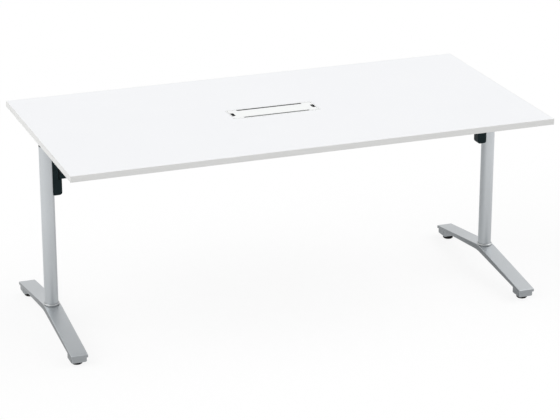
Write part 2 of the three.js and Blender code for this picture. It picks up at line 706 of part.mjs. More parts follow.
// Beam between the legs, with a plug in each end
const beamEnd = legX - beamStart;
const beamMiddle = [0, legOffset, (beamTop + beamBottom) / 2];
const beamSection = rectangle(beamDepth, beamHeight, beamCorner);
const boreDepth = beamDepth - 2 * beamSheet;
const boreHeight = beamHeight - 2 * beamSheet;
const boreCorner = beamCorner - beamSheet;
const beamBore = alongX(rectangle(boreDepth, boreHeight, boreCorner), -legX, legX);
add('cross_beam', alongX(beamSection, -beamEnd, beamEnd).subtract(beamBore), 'black', beamMiddle);
for (const [name, way] of Object.entries(sides)) {
  const plug = alongX(rectangle(boreDepth - 2 * fit, boreHeight - 2 * fit, boreCorner), -beamPlug / 2,
    beamPlug / 2);
  const [x, y, z] = beamMiddle;
  add(`${name}_beam_plug`, plug, 'black', [x + way * (beamEnd - beamPlug / 2), y, z]);
}

// Release bar that joins the latch bolts, with a grip in the middle
const releaseHalf = legX - latchLine + boltWidth / 2 + releaseEnd;
const releaseRadius = releaseDiameter / 2;
const releaseAxis = [0, legOffset - releaseReach, axisHeight + boltRise];
const releaseBar = tube(releaseRadius - releaseWall, releaseRadius, -releaseHalf, releaseHalf, smallTurn);
add('release_bar', layAlongX(releaseBar), 'steel', releaseAxis);
const gripInner = releaseRadius + seat;
const gripOuter = gripInner + gripWall;
const gripHalf = gripLength / 2;
add('release_grip', layAlongX(turned([
  [gripInner, -gripHalf], [gripOuter - gripRound, -gripHalf], [gripOuter, gripRound - gripHalf],
  [gripOuter, gripHalf - gripRound], [gripOuter - gripRound, gripHalf], [gripInner, gripHalf],
  [gripInner, -gripHalf],
], smallTurn)), 'rubber', releaseAxis);

export default table;
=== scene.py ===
import json
import math

import bpy
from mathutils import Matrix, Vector


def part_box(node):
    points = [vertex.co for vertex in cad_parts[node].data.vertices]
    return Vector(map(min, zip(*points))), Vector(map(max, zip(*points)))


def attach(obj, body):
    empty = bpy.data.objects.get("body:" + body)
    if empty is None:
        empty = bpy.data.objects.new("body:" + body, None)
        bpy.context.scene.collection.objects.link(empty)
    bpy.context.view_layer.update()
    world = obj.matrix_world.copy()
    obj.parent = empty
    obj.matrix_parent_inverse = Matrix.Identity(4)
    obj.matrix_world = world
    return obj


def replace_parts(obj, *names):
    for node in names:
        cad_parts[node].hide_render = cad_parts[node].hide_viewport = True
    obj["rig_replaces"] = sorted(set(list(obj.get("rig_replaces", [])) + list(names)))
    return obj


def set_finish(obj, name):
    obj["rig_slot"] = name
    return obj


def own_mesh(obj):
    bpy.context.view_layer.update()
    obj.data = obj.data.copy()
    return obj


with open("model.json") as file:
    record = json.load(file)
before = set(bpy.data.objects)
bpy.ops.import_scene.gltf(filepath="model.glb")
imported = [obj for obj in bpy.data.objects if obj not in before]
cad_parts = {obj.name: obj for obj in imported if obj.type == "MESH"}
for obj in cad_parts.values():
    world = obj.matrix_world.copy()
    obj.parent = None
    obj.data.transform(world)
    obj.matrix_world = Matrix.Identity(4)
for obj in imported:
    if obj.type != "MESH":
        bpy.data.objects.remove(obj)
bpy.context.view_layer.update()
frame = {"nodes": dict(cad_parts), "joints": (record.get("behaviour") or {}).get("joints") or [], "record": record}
record = frame["record"]
slotOf = {part["node"]: part["material_slot"] for part in record["subparts"]}
bodyOf = {node: body for body, members in record["behaviour"]["bodies"].items() for node in members}
sides = ("left", "right")
ends = ("front", "back")
print("frame loaded,", len(frame["nodes"]), "nodes")


# Camera, a long lens in front of the table's left end
photo = {"lens": 139.935, "place": (-2.63216, -7.10557, 3.14938), "pitch": 0.3539, "yaw": 0.3564}


def makeCamera():
    data = bpy.data.cameras.new("photoCamera")
    data.lens = photo["lens"]
    camera = bpy.data.objects.new("photoCamera", data)
    camera.location = photo["place"]
    camera.rotation_euler = (math.pi / 2 - photo["pitch"], 0, -photo["yaw"])
    bpy.context.scene.collection.objects.link(camera)
    bpy.context.scene.camera = camera


makeCamera()
print("camera placed")


class Shade:  # one socket of a node tree: sums and products of these add their own Math nodes
    def __init__(self, tree, socket=None):
        self.tree = tree
        self.socket = socket

    def node(self, kind, settings=None, sockets=None, out=0):
        made = self.tree.nodes.new(kind)
        for name, value in (settings or {}).items():
            if name == "stops":
                for stop, (place, level) in zip(made.color_ramp.elements, value):
                    stop.position = place
                    stop.color = (level, level, level, 1)
            else:
                setattr(made, name, value)
        self.feed(made, sockets or {})
        return Shade(self.tree, made.outputs[out])

    def feed(self, made, sockets):
        for name, value in sockets.items():
            if isinstance(value, Shade):
                self.tree.links.new(value.socket, made.inputs[name])
            else:
                made.inputs[name].default_value = value

    def mix(self, mask, first, second):  # a Mix node's colours are its sockets 6 and 7
        return self.node("ShaderNodeMix", {"data_type": "RGBA"}, {0: mask, 6: first, 7: second}, 2)

    def math(self, operation, first, second):
        return self.node("ShaderNodeMath", {"operation": operation}, {0: first, 1: second})

    def __add__(self, other):
        return self.math("ADD", self, other)

    def __sub__(self, other):
        return self.math("SUBTRACT", self, other)

    def __rsub__(self, other):
        return self.math("SUBTRACT", other, self)

    def __mul__(self, other):
        return self.math("MULTIPLY", self, other)

    __radd__ = __add__
    __rmul__ = __mul__


class Finish:  # one material: its coordinates, its patterns and its shader
    def __init__(self, name):
        self.material = bpy.data.materials.new(name)
        self.material.use_nodes = True
        tree = self.material.node_tree
        self.shader = tree.nodes["Principled BSDF"]
        self.shade = Shade(tree)
        self.mix = self.shade.mix
        self.coords = self.shade.node("ShaderNodeTexCoord", out="Object")

    def stretched(self, scale):
        return self.shade.node("ShaderNodeMapping", None, {"Vector": self.coords, "Scale": scale})

    def noise(self, scale, detail, coords=None):
        sockets = {"Vector": coords or self.coords, "Scale": scale, "Detail": detail}
        return self.shade.node("ShaderNodeTexNoise", None, sockets)

    def cells(self, scale, coords=None):
        sockets = {"Vector": coords or self.coords, "Scale": scale}
        return self.shade.node("ShaderNodeTexVoronoi", None, sockets, "Color")

    def ramp(self, value, none, full):
        stops = ((none, 0.0), (full, 1.0))
        return self.shade.node("ShaderNodeValToRGB", {"stops": stops}, {"Fac": value})

    def between(self, value, none, full):  # like a ramp, for values of any size, in either direction
        return self.shade.node("ShaderNodeMapRange", None, {0: value, 1: none, 2: full, 3: 0.0, 4: 1.0})

    def axis(self, vector, name):
        return self.shade.node("ShaderNodeSeparateXYZ", None, {0: vector}, name)

    def facing(self, name):
        return self.axis(self.shade.node("ShaderNodeTexCoord", out="Normal"), name)

    def bump(self, height, strength, depth):
        sockets = {"Height": height, "Strength": strength, "Distance": depth}
        return self.shade.node("ShaderNodeBump", None, sockets)

    def use(self, **sockets):
        names = {"colour": "Base Color", "rough": "Roughness", "metal": "Metallic", "normal": "Normal",
                 "specular": "Specular IOR Level"}
        self.shade.feed(self.shader, {names[name]: value for name, value in sockets.items()})
        return self.material


def paint(red, green, blue):  # a colour as seen on screen, as the linear colour that a shader takes
    linear = [c / 12.92 if c <= 0.04045 else ((c + 0.055) / 1.055) ** 2.4 for c in (red, green, blue)]
    return (*linear, 1)


# Finishes: a noise is given as scale and detail, a range as none and full, a bump as strength and depth
laminate = {"face": paint(0.956, 0.960, 0.968), "cloud": paint(0.947, 0.951, 0.960), "clouds": (2.5, 3),
            "smears": (9, 4), "smearRange": (0.35, 0.75), "grain": (1400, 2), "bump": (0.25, 0.00004),
            "rough": 0.42, "smearRough": 0.08}


def whiteLaminate():
    finish = Finish("white laminate")
    colour = finish.mix(finish.noise(*laminate["clouds"]), laminate["face"], laminate["cloud"])
    smear = finish.ramp(finish.noise(*laminate["smears"]), *laminate["smearRange"])
    grain = finish.noise(*laminate["grain"])
    return finish.use(colour=colour, rough=laminate["rough"] + smear * laminate["smearRough"],
                      normal=finish.bump(grain, *laminate["bump"]))


edging = {"face": paint(0.916, 0.917, 0.912), "streak": paint(0.896, 0.897, 0.891), "stretch": (6, 6, 420),
          "streaks": (1, 3), "streakRange": (0.3, 0.7), "bump": (0.3, 0.00003), "rough": 0.44,
          "streakRough": 0.1}


def edgeStrip():
    finish = Finish("edge strip")
    streak = finish.noise(*edging["streaks"], finish.stretched(edging["stretch"]))
    colour = finish.mix(finish.ramp(streak, *edging["streakRange"]), edging["face"], edging["streak"])
    return finish.use(colour=colour, rough=edging["rough"] + streak * edging["streakRough"],
                      normal=finish.bump(streak, *edging["bump"]))


moulding = {"face": paint(0.966, 0.972, 0.970), "cloud": paint(0.953, 0.959, 0.957), "clouds": (14, 3),
            "sparks": 1900, "bump": (0.18, 0.00005), "rough": 0.40, "haze": (40, 2), "hazeRough": 0.1}


def whiteMoulding():
    finish = Finish("white moulding")
    spark = finish.cells(moulding["sparks"])
    colour = finish.mix(finish.noise(*moulding["clouds"]), moulding["face"], moulding["cloud"])
    haze = finish.noise(*moulding["haze"])
    return finish.use(colour=colour, rough=moulding["rough"] + haze * moulding["hazeRough"],
                      normal=finish.bump(spark, *moulding["bump"]))


flakes = {"cells": 2600, "range": (0.35, 0.95), "share": 0.7, "rough": 0.08, "cloudRough": 0.06,
          "peelStrength": 0.22, "metal": 0.8}


def flakePaint(finish, look):  # bright flakes in a duller ground, with a slight orange peel
    flake = finish.ramp(finish.cells(flakes["cells"]), *flakes["range"])
    cloud = finish.noise(*look["clouds"])
    shown = flake * flakes["share"] + cloud * (1 - flakes["share"])
    rough = look["rough"] + flake * flakes["rough"] + cloud * flakes["cloudRough"]
    normal = finish.bump(finish.noise(*look["peel"]), flakes["peelStrength"], look["peelDepth"])
    return finish.mix(shown, look["ground"], look["flake"]), rough, normal


# low is a colour darker towards the floor; inner is painted shade for the sides that face the table's middle
silver = {"flake": paint(0.830, 0.844, 0.854), "ground": paint(0.759, 0.775, 0.787), "clouds": (7, 3),
          "low": paint(0.650, 0.665, 0.676), "lowRange": (0.45, 0.08), "lowShare": 0.7,
          "inner": paint(0.655, 0.672, 0.684), "innerShadeRange": (-0.42, -0.82),
          "peel": (420, 3), "peelDepth": 0.00007, "rough": 0.30}


def silverCoat():  # darker towards the floor, with painted shade on the sides that face the table's middle
    finish = Finish("silver powder coat")
    bright, rough, normal = flakePaint(finish, silver)
    low = finish.between(finish.axis(finish.coords, "Z"), *silver["lowRange"])
    darkened = finish.mix(low * silver["lowShare"], bright, silver["low"])
    # painted shade on the sides that face the table's middle
    outward = finish.axis(finish.coords, "X") * finish.facing("X")
    colour = finish.mix(finish.between(outward, *silver["innerShadeRange"]), darkened, silver["inner"])
    return finish.use(colour=colour, metal=flakes["metal"], rough=rough, normal=normal)


# the side, backSideShade, end and back colours are painted shade for the foot's sides, ends and back half
casting = {"flake": paint(0.795, 0.808, 0.817), "ground": paint(0.725, 0.740, 0.751), "clouds": (9, 4),
           "side": paint(0.450, 0.465, 0.475), "backSideShade": paint(0.520, 0.535, 0.545),
           "end": paint(0.603, 0.617, 0.627), "turned": (0.3, 0.8),
           "back": paint(0.690, 0.705, 0.716), "backShadeRange": (0.06, 0.24), "backShadeShare": 0.5,
           "peel": (300, 3), "peelDepth": 0.00012, "rough": 0.32}


def silverCasting():  # a casting skin, with painted shade along the sides, at the ends and on the back half
    finish = Finish("silver casting")
    bright, rough, normal = flakePaint(finish, casting)
    # painted shade: the back half, the ends and the sides are darker
    backShadeMask = finish.between(finish.axis(finish.coords, "Y"), *casting["backShadeRange"])
    darkened = finish.mix(backShadeMask * casting["backShadeShare"], bright, casting["back"])
    across, along = finish.facing("X"), finish.facing("Y")
    endShaded = finish.mix(finish.ramp(along * along, *casting["turned"]), darkened, casting["end"])
    # painted shade for the sides, a little lighter on the back half
    side = finish.mix(backShadeMask, casting["side"], casting["backSideShade"])
    skin = finish.mix(finish.ramp(across * across, *casting["turned"]), endShaded, side)
    return finish.use(colour=skin, metal=flakes["metal"], rough=rough, normal=normal)


blackCoat = {"face": paint(0.060, 0.126, 0.138), "dust": paint(0.115, 0.168, 0.180), "dusting": (26, 5),
             "dustRange": (0.45, 0.85), "dustShare": 0.6, "grain": (900, 3), "grainShare": 0.25,
             "bump": (0.3, 0.00012), "rough": 0.46, "grainRough": 0.14, "specular": 0.12}


def blackPowder():
    finish = Finish("black powder coat")
    grain = finish.noise(*blackCoat["grain"])
    dust = finish.ramp(finish.noise(*blackCoat["dusting"]), *blackCoat["dustRange"])
    shown = dust * blackCoat["dustShare"] + grain * blackCoat["grainShare"]
    return finish.use(colour=finish.mix(shown, blackCoat["face"], blackCoat["dust"]),
                      rough=blackCoat["rough"] + grain * blackCoat["grainRough"],
                      specular=blackCoat["specular"], normal=finish.bump(grain, *blackCoat["bump"]))


darkMoulding = {"face": paint(0.095, 0.105, 0.110), "worn": paint(0.165, 0.175, 0.180), "wear": (35, 4),
                "wearRange": (0.5, 0.9), "sparks": 1300, "bump": (0.25, 0.0001), "rough": 0.48,
                "wearRough": 0.12, "specular": 0.06}


def blackPlastic():
    finish = Finish("black moulding")
    spark = finish.cells(darkMoulding["sparks"])
    worn = finish.ramp(finish.noise(*darkMoulding["wear"]), *darkMoulding["wearRange"])
    return finish.use(colour=finish.mix(worn, darkMoulding["face"], darkMoulding["worn"]),
                      rough=darkMoulding["rough"] + worn * darkMoulding["wearRough"],
                      specular=darkMoulding["specular"], normal=finish.bump(spark, *darkMoulding["bump"]))


zinc = {"bright": paint(0.800, 0.805, 0.800), "dull": paint(0.715, 0.722, 0.730), "blotches": (55, 4),
        "blotchRange": (0.3, 0.75), "stretch": (900, 60, 900), "scratches": (1, 2), "bump": (0.15, 0.00002),
        "rough": 0.24, "blotchRough": 0.08, "scratchRough": 0.1, "metal": 1.0}


def zincPlate():
    finish = Finish("zinc plate")
    blotch = finish.ramp(finish.noise(*zinc["blotches"]), *zinc["blotchRange"])
    scratch = finish.noise(*zinc["scratches"], finish.stretched(zinc["stretch"]))
    rough = zinc["rough"] + blotch * zinc["blotchRough"] + scratch * zinc["scratchRough"]
    return finish.use(colour=finish.mix(blotch, zinc["bright"], zinc["dull"]), rough=rough,
                      metal=zinc["metal"], normal=finish.bump(scratch, *zinc["bump"]))


nylon = {"face": paint(0.880, 0.860, 0.800), "aged": paint(0.820, 0.785, 0.700), "clouds": (120, 3),
         "bump": (0.1, 0.00005), "rough": 0.42, "cloudRough": 0.12}


def plainNylon():
    finish = Finish("plain nylon")
    cloud = finish.noise(*nylon["clouds"])
    return finish.use(colour=finish.mix(cloud, nylon["face"], nylon["aged"]),
                      rough=nylon["rough"] + cloud * nylon["cloudRough"],
                      normal=finish.bump(cloud, *nylon["bump"]))


rubber = {"face": paint(0.070, 0.070, 0.072), "scuff": paint(0.160, 0.158, 0.155), "scuffs": (60, 5),
          "scuffRange": (0.55, 0.9), "grain": (1100, 3), "bump": (0.35, 0.0001), "rough": 0.66,
          "grainRough": 0.2, "specular": 0.3}


def softRubber():
    finish = Finish("soft rubber")
    grain = finish.noise(*rubber["grain"])
    scuff = finish.ramp(finish.noise(*rubber["scuffs"]), *rubber["scuffRange"])
    return finish.use(colour=finish.mix(scuff, rubber["face"], rubber["scuff"]),
                      rough=rubber["rough"] + grain * rubber["grainRough"],
                      specular=rubber["specular"], normal=finish.bump(grain, *rubber["bump"]))


chips = {"pale": paint(0.800, 0.690, 0.520), "dark": paint(0.560, 0.430, 0.290), "stretch": (420, 420, 1300),
         "cells": 1, "chipRange": (0.1, 0.9), "bump": (0.5, 0.0003), "rough": 0.80, "chipRough": 0.15}


def chipBoard():
    finish = Finish("chipboard")
    chip = finish.cells(chips["cells"], finish.stretched(chips["stretch"]))
    return finish.use(colour=finish.mix(finish.ramp(chip, *chips["chipRange"]), chips["pale"], chips["dark"]),
                      rough=chips["rough"] + chip * chips["chipRough"],
                      normal=finish.bump(chip, *chips["bump"]))


blackRubber = softRubber()
finishes = {
    "board": chipBoard(), "white_laminate": whiteLaminate(), "edge_band": edgeStrip(),
    "white_plastic": whiteMoulding(), "silver_paint": silverCoat(),
    "silver_casting": silverCasting(), "black_paint": blackPowder(),
    "black_plastic": blackPlastic(), "steel": zincPlate(), "bush_plastic": plainNylon(),
    "grip_rubber": blackRubber, "pad_rubber": blackRubber,
}
for node, part in frame["nodes"].items():
    part.data.materials.clear()
    part.data.materials.append(finishes[slotOf[node]])
print("finishes made,", len(finishes))


# Ways of working that the pieces share
tiny = 1e-6  # closer than this is the same place
flat = math.radians(0.2)  # faces that meet at less than this become one
pointSize = 0.001  # of the sheet that becomes the first point of a profile


def pick(piece):
    bpy.ops.object.select_all(action="DESELECT")
    piece.select_set(True)
    bpy.context.view_layer.objects.active = piece


def edit(piece, kind="VERT"):
    pick(piece)
    bpy.ops.object.mode_set(mode="EDIT")
    bpy.ops.mesh.select_mode(type=kind)
    bpy.ops.mesh.select_all(action="SELECT")


def leaveEdit():
    bpy.ops.object.mode_set(mode="OBJECT")


def chooseEdges(piece, wanted):  # leaves edit mode open with the wanted edges selected
    edit(piece, "EDGE")
    bpy.ops.mesh.select_all(action="DESELECT")
    leaveEdit()
    points = piece.data.vertices
    for line in piece.data.edges:
        a, b = line.vertices
        line.select = wanted(points[a].co, points[b].co)
    bpy.ops.object.mode_set(mode="EDIT")


def chooseFaces(piece, wanted):  # the same for faces, by their middle and the way they face
    edit(piece, "FACE")
    bpy.ops.mesh.select_all(action="DESELECT")
    leaveEdit()
    for face in piece.data.polygons:
        face.select = wanted(face.center, face.normal)
    bpy.ops.object.mode_set(mode="EDIT")


def faceOut():  # in edit mode
    bpy.ops.mesh.select_all(action="SELECT")
    bpy.ops.mesh.normals_make_consistent(inside=False)


def closeEnds():  # in edit mode
    bpy.ops.mesh.select_all(action="DESELECT")
    bpy.ops.mesh.select_non_manifold()
    bpy.ops.mesh.fill_holes(sides=0)
    faceOut()


def modify(piece, kind, **settings):
    pick(piece)
    modifier = piece.modifiers.new(kind.lower(), kind)
    for name, value in settings.items():
        setattr(modifier, name, value)
    bpy.ops.object.modifier_apply(modifier=modifier.name)


def roundEdges(piece, width, steps=2, angle=30):
    modify(piece, "BEVEL", width=width, segments=steps, limit_method="ANGLE", angle_limit=math.radians(angle),
           use_clamp_overlap=True)


def smooth(piece, angle=40):
    pick(piece)
    bpy.ops.object.shade_smooth_by_angle(angle=math.radians(angle))
    modify(piece, "WEIGHTED_NORMAL", keep_sharp=True)


def cut(piece, tool, operation="DIFFERENCE"):
    modify(piece, "BOOLEAN", object=tool, operation=operation, solver="EXACT")
    bpy.data.objects.remove(tool)


def applied():  # the newest primitive, with its size and place taken into its mesh
    piece = bpy.context.active_object
    pick(piece)
    bpy.ops.object.transform_apply(location=True, rotation=True, scale=True)
    return piece


def addBlock(size, place, angle=0):
    bpy.ops.object.select_all(action="DESELECT")
    bpy.ops.mesh.primitive_cube_add(size=1, location=place, scale=size, rotation=(0, 0, angle))
    return applied()


def addSheet(length, width, place):
    bpy.ops.object.select_all(action="DESELECT")
    bpy.ops.mesh.primitive_plane_add(size=1, location=place)
    bpy.context.active_object.scale = (length, width, 1)
    return applied()


def drawLine(points):  # leaves edit mode open on a line of edges
    piece = addSheet(pointSize, pointSize, points[0])
    edit(piece)
    bpy.ops.mesh.merge(type="CENTER")
    for before, after in zip(points, points[1:]):
        bpy.ops.mesh.extrude_region_move(TRANSFORM_OT_translate={"value": after - before})
    return piece


def turn(profile, middle, sidesRound, along=(0, 0, 1)):  # spins a profile of (radius, height)
    axis = Vector(along)
    out = Vector((0, 0, 1)) if axis.x else Vector((1, 0, 0))
    piece = drawLine([Vector(middle) + out * radius + axis * height for radius, height in profile])
    bpy.ops.mesh.select_all(action="SELECT")
    bpy.ops.mesh.spin(steps=sidesRound, angle=2 * math.pi, center=middle, axis=axis)
    bpy.ops.mesh.select_all(action="SELECT")
    bpy.ops.mesh.remove_doubles(threshold=tiny)
    faceOut()
    leaveEdit()
    return piece


def pipe(inner, outer, half):  # the profile of a plain tube
    return [(inner, -half), (outer, -half), (outer, half), (inner, half), (inner, -half)]


def makeRim(sheet, width, depth, opened=None):  # leaves a sheet's rim, thickened, without its opened side
    edit(sheet, "FACE")
    bpy.ops.mesh.inset(thickness=width)
    bpy.ops.mesh.delete(type="FACE")
    leaveEdit()
    if opened:
        chooseFaces(sheet, opened)
        bpy.ops.mesh.delete(type="FACE")
        leaveEdit()
    edit(sheet, "FACE")
    bpy.ops.mesh.extrude_region_move(TRANSFORM_OT_translate={"value": (0, 0, -depth)})
    faceOut()
    leaveEdit()
    smooth(sheet)


def settle(piece, name, slot, body, *replaced):  # names a finished piece, gives it its finish and its body
    piece.name = name
    pick(piece)
    bpy.ops.object.transform_apply(location=True, rotation=True, scale=True)
    piece.data.materials.clear()
    piece.data.materials.append(finishes[slot])
    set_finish(piece, slot)
    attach(piece, body)
    if replaced:
        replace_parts(piece, *replaced)
    return piece


def copyTo(piece, name, move, body, *replaced):
    pick(piece)
    bpy.ops.object.duplicate()
    other = bpy.context.active_object
    bpy.ops.transform.translate(value=move)
    if "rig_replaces" in other:
        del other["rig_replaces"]
    return settle(other, name, piece["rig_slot"], body, *replaced)


def middleOf(node):
    low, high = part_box(node)
    return (low + high) / 2


def fine(node, edge):  # a copy of a node with its seams merged and its edges eased
    piece = bpy.data.objects.new(node + "_fine", frame["nodes"][node].data.copy())
    bpy.context.scene.collection.objects.link(piece)
    edit(piece)
    bpy.ops.mesh.remove_doubles(threshold=tiny)
    bpy.ops.mesh.dissolve_limited(angle_limit=flat)
    leaveEdit()
    if edge:
        roundEdges(piece, edge)
    smooth(piece)
    return settle(piece, node + "_fine", slotOf[node], bodyOf[node], node)


# Worktop and cable box, each with the width of its eased edges
worktop = {"worktop_laminate": 0, "backing_laminate": 0, "front_edge_band": 0, "back_edge_band": 0,
           "left_edge_band": 0, "right_edge_band": 0, "cable_frame": 0.0008, "cable_lid": 0.0005,
           "cable_tray": 0.0006, "front_rail": 0.0006, "back_rail": 0.0006}

for node, edge in worktop.items():
    fine(node, edge)
print("worktop made")

# Legs
foot = {"crest": 0.095, "crestDepth": 0.023, "end": 0.0425, "endDepth": 0.012, "topBend": 0.150,
        "underBend": 0.230, "blank": 0.02, "slices": 47, "bunch": 0.4, "crease": 35,
        "edge": 0.003, "edgeSteps": 4, "edgeAngle": 60,
        "wall": 0.005, "roof": 0.006, "rib": 0.004, "hub": 0.024, "hollows": 3,
        "underFacing": -0.95, "underHalf": 0.01, "firstRise": 0.001,
        "blockLength": 0.062, "blockInset": 0.003, "blockTop": 0.0415, "blockCorner": 0.008,
        "blockCornerSteps": 5, "blockEdge": 0.0025, "blockEdgeSteps": 3,
        "boss": 0.026, "bossTop": 0.096, "stem": 0.0053, "stemTop": 0.036, "stemSetback": 0.039,
        "headRoom": 0.0091, "headTop": 0.080, "roundSides": 64}


def archHeight(y, half, crest, end, bend):  # straight arms that meet in a round crest
    slope = (crest - end) / half
    tangent = bend * math.sin(math.atan(slope))
    lift = bend - math.sqrt(bend ** 2 - tangent ** 2) - slope * tangent
    if abs(y) < tangent:
        return crest - bend + math.sqrt(bend ** 2 - y ** 2)
    return crest - slope * abs(y) - lift


def makeFoot(side):
    low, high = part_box(side + "_foot")
    middle = (low + high) / 2
    half = (high.y - low.y) / 2
    width = high.x - low.x

    def top(y):
        return archHeight(y, half, foot["crest"], foot["end"], foot["topBend"])

    def under(y):
        return archHeight(y, half, foot["crest"] - foot["crestDepth"], foot["end"] - foot["endDepth"],
                          foot["underBend"])

    def addEndBlock(way):
        size = (width - 2 * foot["blockInset"], foot["blockLength"], foot["blockTop"] - low.z)
        place = (middle.x, middle.y + way * (half - foot["blockInset"] - foot["blockLength"] / 2),
                 (foot["blockTop"] + low.z) / 2)
        block = addBlock(size, place)
        chooseEdges(block, lambda a, b: abs(a.z - b.z) > tiny)
        bpy.ops.mesh.bevel(offset=foot["blockCorner"], segments=foot["blockCornerSteps"])
        leaveEdit()
        roundEdges(block, foot["blockEdge"], foot["blockEdgeSteps"])
        return block

    def addRod(radius, bottom, height, y):
        bpy.ops.object.select_all(action="DESELECT")
        bpy.ops.mesh.primitive_cylinder_add(vertices=foot["roundSides"], radius=radius, depth=height - bottom,
                                            location=(middle.x, middle.y + y, (height + bottom) / 2))
        return applied()

    arch = addBlock((width, 2 * half, foot["blank"]), middle)
    chooseEdges(arch, lambda a, b: abs(a.y - b.y) > half)
    bpy.ops.mesh.subdivide(number_cuts=foot["slices"])
    leaveEdit()
    for point in arch.data.vertices:  # bends the straight bar, with more slices near its crest
        share = (point.co.y - middle.y) / half
        y = half * share * (foot["bunch"] + (1 - foot["bunch"]) * share ** 2)
        point.co = (point.co.x, middle.y + y, top(y) if point.co.z > middle.z else under(y))
    roundEdges(arch, foot["edge"], foot["edgeSteps"], foot["edgeAngle"])

    pitch = (half - foot["blockLength"] - foot["hub"]) / foot["hollows"]
    for way in (-1, 1):
        for i in range(foot["hollows"]):
            near = foot["hub"] + pitch * i
            far = near + pitch - foot["rib"]
            chooseFaces(arch, lambda centre, normal: normal.z < foot["underFacing"]
                        and abs(centre.x - middle.x) < foot["underHalf"]
                        and near < way * (centre.y - middle.y) < far)
            bpy.ops.mesh.inset(thickness=foot["wall"] - foot["edge"])
            bpy.ops.mesh.extrude_region_move(TRANSFORM_OT_translate={"value": (0, 0, foot["firstRise"])})
            leaveEdit()
            for point in arch.data.vertices:  # takes the hollow up to its roof
                if point.select:
                    point.co.z = top(point.co.y - middle.y) - foot["roof"]

    for way in (-1, 1):
        cut(arch, addEndBlock(way), "UNION")
        cut(arch, addRod(foot["stem"], 0, foot["stemTop"], way * (half - foot["stemSetback"])))
    cut(arch, addRod(foot["boss"], foot["crest"] - foot["crestDepth"] / 2, foot["bossTop"], 0), "UNION")
    cut(arch, addRod(foot["headRoom"], 0, foot["headTop"], 0))
    smooth(arch, foot["crease"])
    return settle(arch, side + "_foot_casting", "silver_casting", "base", side + "_foot")


leftFoot = makeFoot("left")
acrossTable = middleOf("right_foot") - middleOf("left_foot")
copyTo(leftFoot, "right_foot_casting", acrossTable, "base", "right_foot")
print("feet made")

column = {"wall": 0.002, "edge": 0.0006, "sides": 96}
collar = {"inner": 0.02505, "outer": 0.029, "height": 0.005, "edge": 0.0016, "edgeSteps": 4, "sides": 96}
cap = {"crown": 0.0015, "play": 0.0003, "edge": 0.0006, "edgeSteps": 3, "sides": 96}


def makeColumn(side):
    low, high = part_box(side + "_column")
    radius = (high.x - low.x) / 2
    inner = radius - column["wall"]
    tube = turn(pipe(inner, radius, (high.z - low.z) / 2), (low + high) / 2, column["sides"])
    roundEdges(tube, column["edge"])
    smooth(tube)
    settle(tube, side + "_column_tube", "silver_paint", "base", side + "_column")

    ring = pipe(collar["inner"], collar["outer"], collar["height"] / 2)
    band = turn(ring, middleOf(side + "_collar"), collar["sides"])
    roundEdges(band, collar["edge"], collar["edgeSteps"])
    smooth(band)
    settle(band, side + "_collar_ring", "steel", "base", side + "_collar")

    low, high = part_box(side + "_column_cap")
    top = (high.z - low.z) / 2
    lip = top - cap["crown"]
    inside = inner - cap["play"]
    disc = [(0, -top), (inside, -top), (inside, lip), (radius, lip), (radius, top), (0, top)]
    plug = turn(disc, (low + high) / 2, cap["sides"])
    roundEdges(plug, cap["edge"], cap["edgeSteps"])
    smooth(plug)
    settle(plug, side + "_column_end_cap", "black_plastic", "base", side + "_column_cap")


for side in sides:
    makeColumn(side)
print("columns made")

pad = {"radius": 0.020, "toe": 0.003, "height": 0.012, "neck": 0.013, "bore": 0.00505, "socket": 0.006,
       "edge": 0.0008, "edgeSteps": 3, "sides": 72}
stem = {"root": 0.0042, "crest": 0.005, "pitch": 0.0015, "flank": 0.45, "steps": 24, "crease": 30}


def makePad(node):
    middle = middleOf(node)
    floor = Vector((middle.x, middle.y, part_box(node)[0].z))
    r, toe, height = pad["radius"], pad["toe"], pad["height"]
    profile = [(0, 0), (r - toe, 0), (r, toe), (r, height - 2 * toe), (r - toe / 2, height - toe),
               (pad["neck"], height - toe), (pad["neck"] - toe, height), (pad["bore"], height),
               (pad["bore"], height - pad["socket"]), (0, height - pad["socket"])]
    piece = turn(profile, floor, pad["sides"])
    roundEdges(piece, pad["edge"], pad["edgeSteps"])
    smooth(piece)
    return settle(piece, node + "_moulding", "pad_rubber", bodyOf[node], node)


def makeStem(node):  # a rod with its thread cut into it
    low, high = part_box(node)
    middle = middleOf(node)
    root, crest, pitch = stem["root"], stem["crest"], stem["pitch"]
    turns = math.floor((high.z - low.z) / pitch) - 1
    profile = [(root, 0), (crest, pitch * stem["flank"]), (crest, pitch * (1 - stem["flank"])), (root, pitch)]
    piece = drawLine([Vector((radius, 0, height)) for radius, height in profile])
    leaveEdit()
    modify(piece, "SCREW", angle=2 * math.pi, screw_offset=pitch, iterations=turns, steps=stem["steps"],
           render_steps=stem["steps"], use_merge_vertices=True, merge_threshold=tiny)
    edit(piece)
    bpy.ops.mesh.remove_doubles(threshold=tiny)
    closeEnds()
    bpy.ops.transform.translate(value=(middle.x, middle.y, low.z))
    leaveEdit()
    smooth(piece, stem["crease"])
    return settle(piece, node + "_thread", "steel", bodyOf[node], node)


firstPad = makePad("left_front_pad")
firstStem = makeStem("left_front_stem")
for side in sides:
    for end in ends:
        name = side + "_" + end
        move = middleOf(name + "_pad") - middleOf("left_front_pad")
        if move.length > tiny:
            copyTo(firstPad, name + "_pad_moulding", move, bodyOf[name + "_pad"], name + "_pad")
            copyTo(firstStem, name + "_stem_thread", move, bodyOf[name + "_stem"], name + "_stem")
print("levelling feet made")

# Bristles in the two cable slits, rooted in the frame's long walls
brush = {"length": 0.253, "margin": 0.003, "wall": 0.047, "reach": 0.0094, "root": 0.00045, "tip": 0.0002,
         "sides": 5, "pitch": 0.0011, "rows": 3, "rowPitch": 0.0008, "below": 0.0011, "stray": 0.00012,
         "seed": 7}


